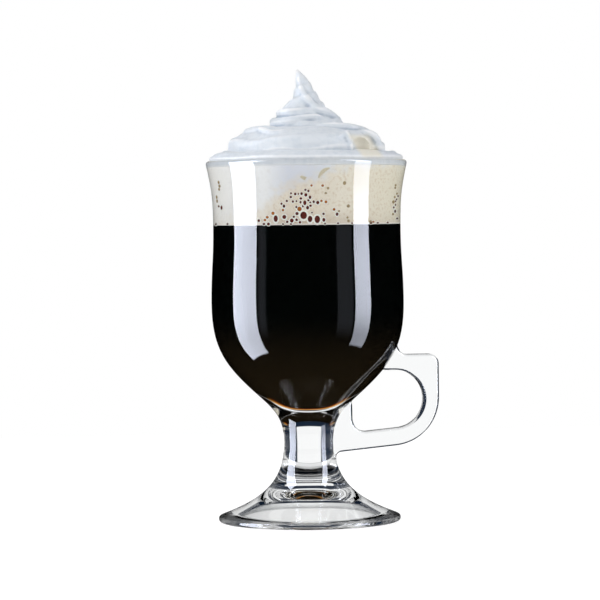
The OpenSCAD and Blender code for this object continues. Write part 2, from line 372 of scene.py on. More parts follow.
# Folds drawn over the cream: their depth on the bed and the swirl, the heights from which they are
# drawn, over what rise they set in, and how far apart they climb
BED_FOLD, SWIRL_FOLD = 0.0003, 0.00045
BED_FOLD_Z, SWIRL_FOLD_Z, FOLD_SET_IN = 0.1446, 0.1468, 0.001
FOLD_PITCH = 0.0052
# Where the folds fade out under the tip, over what height, and what is left of them there
TIP_Z, TIP_FADE, TIP_LEFT = 0.182, 0.014, 0.1
# Share of a fold that rises before it falls off, and how much of folds, lay and grain is drawn
FOLD_RISE_SHARE = 0.75
FOLD_PART, LAY_PART, GRAIN_PART = 1.3, 0.6, 0.12
# How the lay of the cream slopes along X and Y, how finely it repeats across and up, how finely
# and how far the folds wander, and how finely the grain repeats
LAY_SLOPE_X, LAY_SLOPE_Y = 0.22, -0.12
LAY_ACROSS, LAY_UP = 45, 190
WANDER_SCALE, WANDER = 70, 0.5
GRAIN_SCALE = 420


def seen(x, y, z):
    """A place in the viewer's millimetres, turned into the frame of the glass."""
    cos, sin = math.cos(VIEW_TURN), math.sin(VIEW_TURN)
    return Vector((x * cos + y * sin, y * cos - x * sin, z)) * MM


def mound(name, outline):
    """A solid of revolution through a few points (radius, height), with a flat underside."""
    points = [Vector((r, z)) * MM for r, z in outline]
    knots = [(points[0], 0, 0), (points[1], 0, 90)]
    for before, point, after in zip(points[1:], points[2:], points[3:]):
        step = after - before
        angle = math.degrees(math.atan2(step.y, step.x))
        knots.append((point, angle, angle))
    knots.append((points[-1], 180, 180))
    return revolve(profile(name, knots), MOUND_STEPS)


def run_out(end, before):
    """A place past the end of a roll where it has run out, a little further in and lower down."""
    x, y, z, _ = (a + RUN_ON_SHARE * (a - b) for a, b in zip(end, before))
    return x * RUN_IN_SHARE, y * RUN_IN_SHARE, z - RUN_DOWN, RUN_THIN


def ribbon(name, points, runs_out=True):
    """A soft roll of cream through points (x, y, z, thickness), whose ends run out into the rest."""
    if runs_out:
        points = [run_out(points[0], points[1]), *points, run_out(points[-1], points[-2])]
    bpy.ops.curve.primitive_nurbs_path_add()
    curve = bpy.context.object
    curve.name = name
    curve.data.splines.clear()
    spline = curve.data.splines.new("NURBS")
    spline.points.add(len(points) - 1)
    for knot, (x, y, z, thickness) in zip(spline.points, points):
        knot.co = (*seen(x, y, z), 1)
        knot.radius = thickness
    spline.order_u = 4
    spline.use_endpoint_u = True
    curve.data.bevel_depth = MM
    curve.data.bevel_resolution = 5
    curve.data.use_fill_caps = True
    curve.data.resolution_u = 10
    return as_mesh(curve)


def lump(name, centre, radii):
    """A rounded lump at a place, with its half sizes in millimetres."""
    bpy.ops.mesh.primitive_uv_sphere_add(segments=32, ring_count=20, radius=1, location=seen(*centre))
    obj = bpy.context.object
    obj.name = name
    obj.scale = [r * MM for r in radii]
    obj.rotation_euler = (0, 0, -VIEW_TURN)
    bpy.ops.object.transform_apply(location=True, rotation=True, scale=True)
    return obj


def blend_cream(name, parts, hollows=()):
    """Runs the rolls and lumps of one helping together, scoops out the hollows and works the surface."""
    cream = join_parts(name, parts)
    cream.data.remesh_voxel_size = CREAM_VOXEL
    bpy.ops.object.voxel_remesh()
    for hollow in hollows:
        apply_modifier(cream, "BOOLEAN", operation="DIFFERENCE", object=hollow, solver="EXACT")
        bpy.data.objects.remove(hollow)
    if hollows:
        cream.data.remesh_voxel_size = CREAM_VOXEL
        bpy.ops.object.voxel_remesh()
    apply_modifier(cream, "SMOOTH", factor=0.5, iterations=CREAM_SMOOTH)
    return cream


def mark_creases(cream):
    """Stores how hollow or how proud the surface is at each point, for the painted shade and highlight in its
    folds.
    """
    mesh = cream.data
    count = len(mesh.vertices)
    places = numpy.empty(count * 3)
    normals = numpy.empty(count * 3)
    ends = numpy.empty(len(mesh.edges) * 2, dtype=int)
    mesh.vertices.foreach_get("co", places)
    mesh.vertices.foreach_get("normal", normals)
    mesh.edges.foreach_get("vertices", ends)
    places, normals = places.reshape(-1, 3), normals.reshape(-1, 3)
    start, end = ends.reshape(-1, 2).T
    gap = places[end] - places[start]
    neighbours = numpy.bincount(start, minlength=count) + numpy.bincount(end, minlength=count)
    rise = numpy.bincount(start, (gap * normals[start]).sum(axis=1), count)
    rise -= numpy.bincount(end, (gap * normals[end]).sum(axis=1), count)
    rise /= neighbours
    for _ in range(CREASE_BLUR):
        around = numpy.bincount(start, rise[end], count) + numpy.bincount(end, rise[start], count)
        rise = (rise + around) / (neighbours + 1)
    crease = mesh.attributes.new("crease", "FLOAT", "POINT")
    crease.data.foreach_set("value", rise / CREASE_FULL)


def fold_height(place, pitch):
    """How far a fold that climbs round the cream stands out at a place: a slow rise and a quick fall."""
    round_axis = math.atan2(place.y, place.x) / math.tau
    climb = place.z / pitch - round_axis + WANDER * noise.noise(place * WANDER_SCALE)
    step = climb % 1
    if step < FOLD_RISE_SHARE:
        fold = step / FOLD_RISE_SHARE
    else:
        fold = (1 - step) / (1 - FOLD_RISE_SHARE)
    return fold * fold * (3 - 2 * fold) - 0.5


def work_surface(cream, depth, floor_z, pitch=0):
    """Draws a soft lay, a grain and, with a pitch, climbing folds, none of them below a height."""
    mesh = cream.data
    normals = [vertex.normal.copy() for vertex in mesh.vertices]
    for vertex, normal in zip(mesh.vertices, normals):
        place = vertex.co
        lay = place.z + LAY_SLOPE_X * place.x + LAY_SLOPE_Y * place.y
        height = noise.noise(Vector((place.x * LAY_ACROSS, place.y * LAY_ACROSS, lay * LAY_UP)))
        if pitch:
            height = LAY_PART * height + FOLD_PART * fold_height(place, pitch)
        height += GRAIN_PART * noise.noise(place * GRAIN_SCALE)
        fade_in = min(max((place.z - floor_z) / FOLD_SET_IN, 0), 1)
        fade_out = min(max((TIP_Z - place.z) / TIP_FADE, TIP_LEFT), 1)
        vertex.co = place + normal * fade_in * fade_out * depth * height
    mark_creases(cream)
    only(cream)
    bpy.ops.object.shade_smooth()
    return cream


def make_cream_bed():
    """The layer that laps onto the lip, with rolls lying round it."""
    bed = mound("cream_bed_mound", [
        (0, 141.8), (37.7, 141.8), (37.9, 143.2), (38.5, 144.3), (38.7, 145.0), (37.4, 146.0),
        (34, 147.0), (28, 148.2), (0, 149.2)])
    rolls = [ribbon(name, points) for name, points in (
        ("left_swell", [
            (-29, 12, 145.6, 2.0), (-32.6, 2, 146.2, 2.2), (-31.8, -8, 146.1, 2.2),
            (-27, -17, 145.8, 2.0), (-22, -23, 145.4, 1.4)]),
        ("left_tongue", [
            (-36.4, 8, 145.0, 1.5), (-35.6, -6, 145.2, 2.1), (-32.4, -14, 145.0, 2.6),
            (-28, -21, 144.9, 2.6), (-22, -26.6, 144.6, 2.2), (-17, -30, 144.2, 1.2)]),
        ("front_roll", [
            (-20, -27, 145.6, 1.2), (-12, -33, 145.4, 1.9), (0, -35.4, 145.5, 2.3),
            (12, -33.2, 145.4, 2.1), (20, -28.6, 144.9, 1.4)]),
        ("right_wing", [
            (31, -16, 144.8, 1.2), (33.8, -9, 145.7, 1.8), (35, 2, 145.9, 1.9), (33, 14, 145.7, 1.7)]),
        ("back_roll", [
            (26, 24, 145.7, 1.8), (8, 34, 145.6, 2.3), (-12, 33, 145.8, 2.3), (-28, 22, 145.4, 1.8)]))]
    return work_surface(blend_cream("cream_bed_soft", [bed, *rolls]), BED_FOLD, BED_FOLD_Z)


def make_cream_peak():
    """The leaning peak, from its broad foot up to its tip."""
    return ribbon("peak", [
        (0, 0, 153, 17.5), (0, 0, 157.4, 16.4), (-0.2, 0, 159.6, 13.2), (-0.4, 0, 162.4, 10.8),
        (-0.2, 0, 165, 8.7), (-0.1, 0, 168, 6.0), (-0.7, 0, 171.4, 4.2), (-1.0, 0, 174.7, 2.9),
        (-2.3, 0, 177.8, 1.7), (-3.5, 0, 180.25, 0.5)], runs_out=False)


def make_cream_swirl():
    """The swirl: a broad tier, the peak on it, rolls round both, and a hollow beside the front fold."""
    tier = mound("cream_tier", [
        (0, 145.6), (30.6, 145.6), (31.4, 148.2), (30.6, 151.2), (27.4, 154.2), (23.4, 156.0),
        (18.6, 156.9), (0, 158.4)])
    peak = make_cream_peak()
    rolls = [ribbon(name, points) for name, points in (
        ("ridge", [
            (-2.6, -1.2, 177.4, 0.7), (-2.2, -2.6, 174.2, 1.1), (-0.8, -4.2, 170.4, 1.5),
            (1.8, -6.6, 166.4, 1.9), (5.6, -7.6, 163.4, 2.2), (10.4, -5.0, 161.2, 2.2),
            (12.6, 1.0, 160.0, 2.2), (9, 9, 159.4, 2.2), (-1, 12.2, 159.4, 2.0),
            (-8.4, 8.6, 161.0, 1.8), (-10.0, 2.0, 162.6, 1.4)]),
        ("fold_left", [
            (8.6, 3, 164.6, 0.8), (4.4, 7.6, 165.2, 1.4), (-3.6, 8.4, 164.4, 1.6),
            (-9.4, 4.4, 163.2, 1.6), (-10.4, -1.0, 162.8, 1.6), (-8.4, -6.4, 162.6, 1.7),
            (-3.6, -8.8, 163.6, 1.3), (-0.6, -8.8, 164.8, 0.8)]),
        ("fold_low", [
            (11.4, 10.6, 157.2, 0.9), (2.4, 15.6, 157.6, 1.8), (-7.4, 13.0, 158.6, 2.0),
            (-12.4, 5, 159.2, 2.0), (-13.0, -3.0, 159.2, 2.0), (-10.4, -9.4, 159.0, 2.1),
            (-4.4, -12.4, 159.8, 1.8), (1.2, -12.4, 160.8, 1.4), (6.0, -10.6, 161.2, 1.0)]),
        ("shoulder", [
            (16, 24, 151.0, 1.2), (2, 26.8, 151.8, 2.2), (-12, 22.6, 152.8, 2.6),
            (-21.4, 11, 153.6, 2.6), (-23.6, -1, 153.8, 2.9), (-21.4, -10.4, 154.2, 3.0),
            (-17.0, -15.8, 155.2, 2.4), (-12.0, -18.8, 156.0, 1.4)]),
        ("hook", [
            (-18.6, -16.0, 156.6, 0.9), (-16.6, -19.8, 155.4, 1.3), (-13.8, -22.4, 154.3, 1.4),
            (-10.6, -23.8, 154.4, 1.3), (-7.2, -24.2, 155.4, 0.8)]),
        ("brow", [
            (5, -16, 156.6, 1.5), (12, -16.6, 156.4, 2.0), (19, -14, 155.6, 2.3),
            (23.6, -8, 154.6, 2.4), (24.4, 4, 154.2, 2.4), (18, 17, 154.6, 2.6),
            (3, 21.6, 155.2, 2.2), (-9, 18.6, 155.8, 1.8), (-16, 10, 156.4, 1.0)]),
        ("lip_right", [
            (22.4, -15.4, 155.4, 1.0), (25.8, -15.8, 154.0, 1.5), (28.0, -15.4, 151.6, 1.8),
            (29.2, -14.6, 148.6, 1.8), (30, -13, 146.2, 1.4)]),
        ("lobe_left", [
            (-29.6, 4, 150.2, 1.6), (-29.4, -6, 150.6, 1.9), (-25.6, -14.4, 151.2, 1.9),
            (-20.4, -19.6, 151.4, 1.5), (-15, -23.6, 151.0, 0.9)]),
        ("front_fold", [
            (-14, -27.2, 147.4, 1.0), (-6, -29.4, 147.8, 1.6), (3, -29.4, 148.8, 1.8),
            (10, -27.4, 150.4, 1.8), (14.6, -24.4, 152.6, 1.4), (16.6, -20.6, 155.2, 1.0)]),
        ("wall_left", [
            (14.8, -22.0, 155.0, 1.2), (16.6, -24.6, 152.4, 1.5), (17.8, -25.4, 149.6, 1.6),
            (18.4, -25.6, 146.6, 1.4)]))]
    hollow = lump("hollow", (22.6, -26.5, 148.6), (4.4, 9.5, 6.2))
    swirl = blend_cream("cream_swirl_soft", [tier, peak, *rolls], [hollow])
    return work_surface(swirl, SWIRL_FOLD, SWIRL_FOLD_Z, FOLD_PITCH)


# Camera: its distance from the axis of the glass, its height, the photograph's pixels to its focus
# and across, the pixel of the axis at the eye's height, and its roll in degrees
EYE_DISTANCE = 1.14
EYE_Z = 0.1239
PIXELS_TO_FOCUS = 2853
IMAGE_SIZE = 600
AXIS_PIXEL = (307.6, 211)
ROLL = -0.6
SENSOR_MM = 36
NEAREST = 0.01


def make_camera():
    """The photograph's view, worked out from the ellipses of the lip, coffee line and foot."""
    bpy.ops.object.camera_add(location=(
        -EYE_DISTANCE * math.sin(VIEW_TURN), -EYE_DISTANCE * math.cos(VIEW_TURN), EYE_Z))
    camera = bpy.context.object
    camera.data.sensor_width = SENSOR_MM
    camera.data.lens = SENSOR_MM * PIXELS_TO_FOCUS / IMAGE_SIZE
    pitch = math.atan((IMAGE_SIZE / 2 - AXIS_PIXEL[1]) / PIXELS_TO_FOCUS)
    yaw = math.atan((AXIS_PIXEL[0] - IMAGE_SIZE / 2) / PIXELS_TO_FOCUS)
    camera.rotation_euler = (math.pi / 2 - pitch, 0, yaw - VIEW_TURN)
    camera.rotation_euler.rotate_axis("Z", math.radians(ROLL))
    camera.data.clip_start = NEAREST
    bpy.context.scene.camera = camera
    return camera


# Bubbles in the foam, each picked in the photograph: the pixel that its middle is at, across and
# down, and half its width and height in pixels
DARK_BUBBLES = [
    (303.6, 215.3, 3.0, 3.4), (310, 218.9, 2.1, 2.9), (317.3, 219.3, 2.5, 3.4), (323.8, 219.8, 1.4, 1.8),
    (291.8, 220.5, 1.7, 1.9), (275.8, 218.6, 1.9, 3.0), (284.3, 216.9, 1.8, 1.9), (258.9, 220.6, 1.2, 1.3),
    (297, 213.5, 1.5, 1.5), (304.8, 202.6, 1.5, 2.2), (307.6, 207.6, 1.4, 1.7), (303, 206, 1.0, 1.3),
    (284, 206, 1.2, 1.5), (281.5, 203.6, 1.0, 1.1), (286.8, 200.8, 1.1, 1.1), (290.8, 196.8, 1.2, 1.1),
    (291, 193.1, 1.0, 1.0), (292.9, 201.4, 1.1, 1.1), (296.5, 201, 0.9, 0.9), (300.5, 202, 1.0, 1.3),
    (300.8, 198.3, 1.3, 1.1), (295.2, 193.7, 1.2, 1.3), (298.3, 193.5, 0.7, 1.1), (301.6, 193.3, 1.2, 1.3),
    (305.8, 194.6, 1.4, 1.6), (305.4, 189.5, 1.0, 1.1), (308.4, 190.6, 1.0, 1.2), (310, 197, 1.2, 1.6),
    (308.4, 200, 1.1, 1.2), (310.2, 202.2, 1.0, 0.8), (310.5, 205.6, 1.2, 1.1), (296.3, 206.9, 1.0, 1.1),
    (293.8, 216.8, 1.1, 1.1), (296.6, 219.8, 1.2, 1.3), (287.2, 221.8, 1.2, 1.2), (300, 222.3, 1.3, 1.1),
    (313.7, 201.6, 1.1, 1.3), (317.7, 202.4, 1.5, 1.6), (337, 214.1, 1.3, 1.6), (323.5, 213.8, 1.1, 1.2),
    (312, 212.5, 0.9, 0.8), (218.8, 206, 0.8, 1.1), (221.6, 207.4, 0.9, 2.0), (398, 195.5, 0.7, 1.0),
    (396.6, 199, 0.7, 1.0), (395.4, 200.8, 0.7, 0.8), (395.5, 204.5, 0.7, 1.0), (393.7, 207.2, 0.8, 1.1),
    (395, 211, 0.8, 1.6), (397, 218.3, 0.8, 1.0), (216, 224.2, 0.9, 1.2), (264, 224.0, 1.3, 1.1),
    (268.5, 224.0, 1.4, 1.4), (291, 224.0, 1.0, 0.9), (283, 224.1, 0.9, 0.9), (325, 223.6, 0.9, 0.9),
    (338, 223.3, 1.0, 0.9), (352, 223.2, 0.9, 0.9), (371, 223.0, 1.2, 1.0), (377.7, 222.8, 1.0, 0.9),
    (387.6, 222.5, 1.0, 0.9), (242.8, 224.1, 0.9, 0.8), (227.6, 224.0, 1.0, 0.9)]
AMBER_BUBBLES = [
    (267.3, 217.2, 1.4, 1.3), (265, 220, 1.3, 1.2), (273, 213.2, 1.5, 1.6), (299.5, 208.8, 2.0, 2.1),
    (283, 210, 1.2, 1.2), (321.4, 200.7, 1.2, 1.1), (325.9, 201.7, 1.3, 1.4), (334, 209.3, 1.3, 1.3),
    (322.6, 185.2, 1.3, 1.2), (311.5, 185.1, 1.1, 1.1), (373.3, 221.8, 1.1, 1.0)]
FAINT_BUBBLES = [
    (328, 187.7, 1.1, 1.2), (325.8, 192.8, 1.1, 0.9), (344.6, 182.3, 1.3, 1.9), (348.3, 205.8, 1.3, 1.4),
    (339, 211, 0.9, 0.9), (348.5, 220.8, 1.0, 1.2), (347.5, 217.5, 0.9, 0.9), (370.5, 221.6, 1.2, 1.2),
    (218.5, 181.5, 0.8, 1.6), (219.4, 185.2, 0.9, 1.4), (219, 188.6, 0.8, 1.3), (216.6, 196.5, 0.7, 1.6),
    (217, 200.5, 0.7, 1.6), (395.8, 184.4, 0.7, 1.1), (395.4, 187, 0.7, 1.0), (397, 193, 0.6, 1.0),
    (394.8, 196.5, 0.7, 1.0), (393.5, 201.5, 1.0, 1.4), (393, 214, 0.8, 1.0)]
# Leaf-shaped spots where the foam shows through the cream, built up from overlapping drops: the
# way round from the front in degrees, the height, and half the width and height in millimetres
LEAVES = [
    (-2.6, 137.3, 0.55, 0.42), (-1.9, 137.0, 0.60, 0.55), (-1.2, 136.6, 0.42, 0.55),
    (-0.4, 137.0, 0.30, 0.30), (7.6, 137.2, 0.30, 0.42), (8.1, 137.9, 0.42, 0.55),
    (8.9, 138.6, 0.55, 0.60), (9.9, 139.3, 0.70, 0.62), (11.0, 139.9, 0.75, 0.55),
    (12.2, 140.3, 0.65, 0.42), (13.2, 140.5, 0.45, 0.26)]
# How much larger bubbles and drops are made than they measure, so that they look as large
SWELL_SHARE = 1.25
# Depth of a bubble's dome and of the painted highlight rim round it, as shares of its width, and how far the
# rim spreads
BUBBLE_DEPTH_SHARE, HIGHLIGHT_RIM_DEPTH_SHARE, HIGHLIGHT_RIM_SPREAD_SHARE = 0.34, 0.2, 1.4
DOME_SEGMENTS, DOME_RINGS = 20, 10
# How far beside a pick the eye looks, in pixels, to tell how wide a pixel is on the foam there
LOOK_ASIDE = 0.5
# How strongly the glass bends light
GLASS_IOR = 1.5


def seen_on_foam(pixel, camera, glass, foam):
    """The place on the foam that a pixel shows, through the wall of the glass, which bends the sight."""
    across, down = pixel
    ahead = Vector((across - IMAGE_SIZE / 2, IMAGE_SIZE / 2 - down, -PIXELS_TO_FOCUS))
    sight = (camera.rotation_euler.to_matrix() @ ahead).normalized()
    _, entry, _, _ = glass.ray_cast(camera.location, sight)
    outward = Vector((entry.x, entry.y, 0)).normalized()
    along = sight + outward * -sight.dot(outward)
    inward = math.sqrt(1 - along.length_squared / GLASS_IOR ** 2)
    _, place, _, _ = foam.ray_cast(entry, along / GLASS_IOR - outward * inward)
    return place


def picked_domes(picks, camera, glass, foam):
    """Places and half sizes on the foam of bubbles that were picked in the photograph."""
    pixel_up = (EYE_DISTANCE - WAIST_R) / PIXELS_TO_FOCUS
    domes = []
    for across, down, half_w, half_h in picks:
        place = seen_on_foam((across, down), camera, glass, foam)
        beside = seen_on_foam((across + LOOK_ASIDE, down), camera, glass, foam)
        domes.append((place, half_w * (beside - place).length / LOOK_ASIDE, half_h * pixel_up))
    return domes


def leaf_domes(foam):
    """Places and half sizes on the foam of the drops that build up the leaves."""
    domes = []
    for angle, height, half_w, half_h in LEAVES:
        turned = math.radians(angle) - VIEW_TURN
        way = Vector((math.sin(turned), -math.cos(turned), 0))
        _, place, _, _ = foam.ray_cast(Vector((0, 0, height * MM)), way)
        domes.append((place, half_w * MM, half_h * MM))
    return domes


def make_domes(name, domes, depth_share, spread_share=1.0):
    """Flat domes on the side of the foam, joined as one piece."""
    parts = []
    for place, half_w, half_h in domes:
        bpy.ops.mesh.primitive_uv_sphere_add(
            segments=DOME_SEGMENTS, ring_count=DOME_RINGS, radius=1, location=place)
        part = bpy.context.object
        spread = spread_share * SWELL_SHARE
        part.scale = (half_w * spread, half_w * depth_share, half_h * spread)
        part.rotation_euler = (0, 0, math.atan2(place.x, -place.y))
        parts.append(part)
    joined = join_parts(name, parts)
    bpy.ops.object.transform_apply(location=True, rotation=True, scale=True)
    bpy.ops.object.shade_smooth()
    return joined


# Span of the grain over which one colour goes over evenly into another
EVEN_SPAN = (-0.25, 1.25)


class Nodes:
    """The nodes of a tree, and short ways to add, join and reckon with them."""

    def __init__(self, tree):
        self.tree = tree

    def add(self, kind, **settings):
        node = self.tree.nodes.new(kind)
        for key, value in settings.items():
            setattr(node, key, value)
        return node

    def join(self, source, target):
        self.tree.links.new(source, target)

    def feed(self, socket, value):
        if isinstance(value, (int, float)):
            socket.default_value = value
        elif isinstance(value, tuple):
            socket.default_value = (*value, 1)
        else:
            self.join(value, socket)

    def feed_all(self, sockets, *values):
        for socket, value in zip(sockets, values):
            self.feed(socket, value)

    def math(self, operation, *values):
        node = self.add("ShaderNodeMath", operation=operation)
        self.feed_all(node.inputs, *values)
        return node.outputs[0]

    def times(self, *values):
        return reduce(lambda product, value: self.math("MULTIPLY", product, value), values)

    def plus(self, *values):
        return reduce(lambda total, value: self.math("ADD", total, value), values)

    def minus(self, value, taken):
        return self.math("SUBTRACT", value, taken)

    def place(self, kind="Object"):
        """X, Y and Z, by default the object's own."""
        axes = self.add("ShaderNodeSeparateXYZ")
        self.join(self.add("ShaderNodeTexCoord").outputs[kind], axes.inputs[0])
        return axes.outputs

    def fade(self, value, start, end, smooth=True):
        """0 up to one value and 1 from another on."""
        node = self.add("ShaderNodeMapRange", interpolation_type="SMOOTHSTEP" if smooth else "LINEAR")
        self.feed_all(node.inputs, value, start, end)
        return node.outputs[0]

    def band(self, value, low, high, soft):
        """1 where a value lies between two limits, with soft edges, and 0 elsewhere."""
        return self.minus(
            self.fade(value, low - soft, low + soft), self.fade(value, high - soft, high + soft))

    def mix(self, share, first, second):
        node = self.add("ShaderNodeMix", data_type="RGBA")
        self.feed(node.inputs[0], share)
        self.feed_all(node.inputs[6:8], first, second)
        return node.outputs[2]

    def grain(self, scale, detail):
        node = self.add("ShaderNodeGroup", node_tree=GRAIN)
        self.feed_all(node.inputs, scale, detail)
        return node.outputs["Height"]


def begin_group(name, inputs, outputs):
    """The nodes of a new node group with named sockets, and what is given to it and put out by it."""
    group = bpy.data.node_groups.new(name, "ShaderNodeTree")
    for way, sockets in (("INPUT", inputs), ("OUTPUT", outputs)):
        for socket, kind in sockets:
            group.interface.new_socket(socket, in_out=way, socket_type="NodeSocket" + kind)
    g = Nodes(group)
    return g, g.add("NodeGroupInput").outputs, g.add("NodeGroupOutput").inputs


def make_grain():
    """An uneven height over a piece, with a scale and a detail."""
    g, given, put_out = begin_group(
        "grain", [("Scale", "Float"), ("Detail", "Float")], [("Height", "Float")])
    uneven = g.add("ShaderNodeTexNoise")
    g.join(g.add("ShaderNodeTexCoord").outputs["Object"], uneven.inputs["Vector"])
    for name in ("Scale", "Detail"):
        g.join(given[name], uneven.inputs[name])
    g.join(uneven.outputs["Fac"], put_out["Height"])
    return g.tree


GRAIN = make_grain()


def make_mottle():
    """A colour broken up by flecks of another, which set in between two heights of the grain."""
    g, given, put_out = begin_group(
        "mottle",
        [("Ground", "Color"), ("Fleck", "Color"), ("Scale", "Float"), ("Detail", "Float"),
         ("From", "Float"), ("To", "Float"), ("Share", "Float")],
        [("Colour", "Color")])
    set_in = g.fade(g.grain(given["Scale"], given["Detail"]), given["From"], given["To"])
    share = g.times(set_in, given["Share"])
    g.join(g.mix(share, given["Ground"], given["Fleck"]), put_out["Colour"])
    return g.tree


MOTTLE = make_mottle()


class Material(Nodes):
    """A node material with one Principled shader."""

    def __init__(self, name):
        self.material = bpy.data.materials.new(name)
        self.material.use_nodes = True
        super().__init__(self.material.node_tree)
        self.shader = self.tree.nodes["Principled BSDF"]
        self.output = self.tree.nodes["Material Output"]

    def set(self, **values):
        """Sets or feeds inputs of the shader, whose names have a low line for each space."""
        for key, value in values.items():
            self.feed(self.shader.inputs[key.replace("_", " ")], value)

    def mottle(self, ground, fleck, scale, detail, span=EVEN_SPAN, share=1):
        node = self.add("ShaderNodeGroup", node_tree=MOTTLE)
        self.feed_all(node.inputs, ground, fleck, scale, detail, *span, share)
        return node.outputs["Colour"]

    def ramp(self, value, stops):
        node = self.add("ShaderNodeValToRGB")
        marks = node.color_ramp.elements
        while len(marks) < len(stops):
            marks.new(0.5)
        for mark, (place, colour) in zip(marks, stops):
            mark.position = place
            mark.color = (*colour, 1)
        self.join(value, node.inputs[0])
        return node.outputs[0]

    def curve(self, value, points):
        node = self.add("ShaderNodeFloatCurve")
        line = node.mapping.curves[0]
        while len(line.points) < len(points):
            line.points.new(0.5, 0.5)
        for knot, place in zip(line.points, points):
            knot.location = place
        node.mapping.update()
        self.join(value, node.inputs["Value"])
        return node.outputs[0]

    def bump(self, height, distance, strength):
        node = self.add("ShaderNodeBump")
        for name, value in (("Height", height), ("Distance", distance), ("Strength", strength)):
            self.feed(node.inputs[name], value)
        self.set(Normal=node.outputs["Normal"])


# The scale and detail of a grain go together, and with a mottle also the span of the grain that it
# sets in over, and how much of it shows. Spans, of heights too, go from where a thing begins to
# where it is full

# Glass: its tint, its slight wave, and the ring that it stands on, which is a little dull
GLASS_TINT = (0.985, 0.995, 0.997)
GLASS_GRAIN, GLASS_WAVE_DEPTH, GLASS_WAVE = (60, 1), 0.0001, 0.5
STANDING_Z, STANDING_ROUGHNESS = (0.0004, 0.0001), 0.2


def glass_material():
    """Clear pressed glass, with a slight wave in it and a dull ring where it stands."""
    m = Material("pressed_glass")
    m.set(Base_Color=GLASS_TINT, IOR=GLASS_IOR, Transmission_Weight=1.0)
    m.bump(m.grain(*GLASS_GRAIN), GLASS_WAVE_DEPTH, GLASS_WAVE)
    m.set(Roughness=m.times(m.fade(m.place()[2], *STANDING_Z), STANDING_ROUGHNESS))
    return m.material


# Coffee: black, with painted light: brown low in the bowl, and red to amber where light comes
# through its lower edge. Seen at a slant it only mirrors. The slants are spans of Layer Weight's Facing
COFFEE_BLACK, COFFEE_PAINTED_LIGHT_BROWN = (0.0012, 0.0018, 0.0017), (0.013, 0.009, 0.0045)
COFFEE_PAINTED_GLOW_RED, COFFEE_PAINTED_GLOW_AMBER, COFFEE_MIRROR = (0.50, 0.07, 0.004), (1.0, 0.50, 0.09), (0.98, 0.98, 0.98)
PAINTED_BROWN_Z, PAINTED_GLOW_Z = (0.085, 0.058), (0.0550, 0.0505)
PAINTED_GLOW_SLANT, PAINTED_AMBER_SLANT, MIRROR_SLANT = (0.39, 0.50), (0.43, 0.52), (0.52, 0.56)
COFFEE_ROUGHNESS = 0.25


def coffee_material():
    """Black coffee, with painted light: brown low in the bowl and amber through its lower edge."""
    m = Material("black_coffee")
    m.set(Specular_IOR_Level=0.0)
    z = m.place()[2]
    slant = m.add("ShaderNodeLayerWeight").outputs["Facing"]
    mirror = m.fade(slant, *MIRROR_SLANT)
    # Painted light: a red to amber glow where light comes through the lower edge, and brown low in the bowl
    lit = m.times(m.fade(z, *PAINTED_GLOW_Z), m.fade(slant, *PAINTED_GLOW_SLANT))
    painted_glow = m.mix(m.fade(slant, *PAINTED_AMBER_SLANT), COFFEE_PAINTED_GLOW_RED, COFFEE_PAINTED_GLOW_AMBER)
    body = m.mix(lit, m.mix(m.fade(z, *PAINTED_BROWN_Z), COFFEE_BLACK, COFFEE_PAINTED_LIGHT_BROWN), painted_glow)
    dull = m.times(m.minus(1, mirror), COFFEE_ROUGHNESS)
    m.set(Base_Color=m.mix(mirror, body, COFFEE_MIRROR), Metallic=mirror, Roughness=dull)
    return m.material


# Foam. Its front is told by the share of the half turn that faces the viewer, from 0 on the left
# to 1 on the right, and its height by the share of a span of heights
FOAM_SPAN_Z = (COFFEE_Z - 0.002, GLASS_H + 0.0005)
# Share of the height up to which the foam is beige, and above which cream is smeared over it
SMEAR_SHARES = [
    (0, 0.14), (0.25, 0.16), (0.34, 0.3), (0.39, 0.47), (0.45, 0.62), (0.52, 0.68), (0.57, 0.78),
    (0.62, 0.87), (1, 0.9)]
SMEAR_BEHIND_SHARE = 0.5
SMEAR_SPAN = (-0.13, 0.15)
# How far the smear's edge strays, how finely, and where round the back the front's pattern ends
STRAY, STRAY_GRAIN = 0.35, (300, 4)
BEHIND = (1.7, 3.0)
BEIGE_SHARES = [
    (0.1, (0.93, 0.90, 0.84)), (0.36, (0.90, 0.85, 0.76)), (0.46, (0.86, 0.78, 0.66)),
    (0.62, (0.89, 0.84, 0.73)), (1, (0.86, 0.82, 0.68))]
PALE_SHARES = [
    (0.1, (0.96, 0.95, 0.92)), (0.36, (0.95, 0.96, 0.97)), (0.44, (0.76, 0.79, 0.87)),
    (0.52, (0.76, 0.79, 0.86)), (0.6, (0.84, 0.87, 0.90)), (1, (0.88, 0.89, 0.86))]
BEIGE_BEHIND, PALE_BEHIND = (0.89, 0.84, 0.73), (0.94, 0.95, 0.96)
TAN_MOTTLE = ((0.66, 0.53, 0.38), 900, 4, (0.50, 0.68), 0.45)
GREY_MOTTLE = ((0.80, 0.79, 0.78), 800, 4, (0.48, 0.70), 0.35)
# Brown that seeps up from the coffee: its colour, its heights, and how much of it there is
SEEP, SEEP_Z, SEEP_PART = (0.52, 0.40, 0.29), (COFFEE_Z + 0.007, COFFEE_Z + 0.0005), 0.6
SEEP_SHARES = [
    (0.33, (0, 0, 0)), (0.45, (1, 1, 1)), (0.62, (0.6, 0.6, 0.6)), (0.8, (0.25, 0.25, 0.25))]
# Pale line on the coffee: its colour, how high it reaches, and how much of it there is
LINE, LINE_Z, LINE_PART = (0.99, 0.97, 0.92), (COFFEE_Z + 0.0008, COFFEE_Z + 0.0003), 0.7


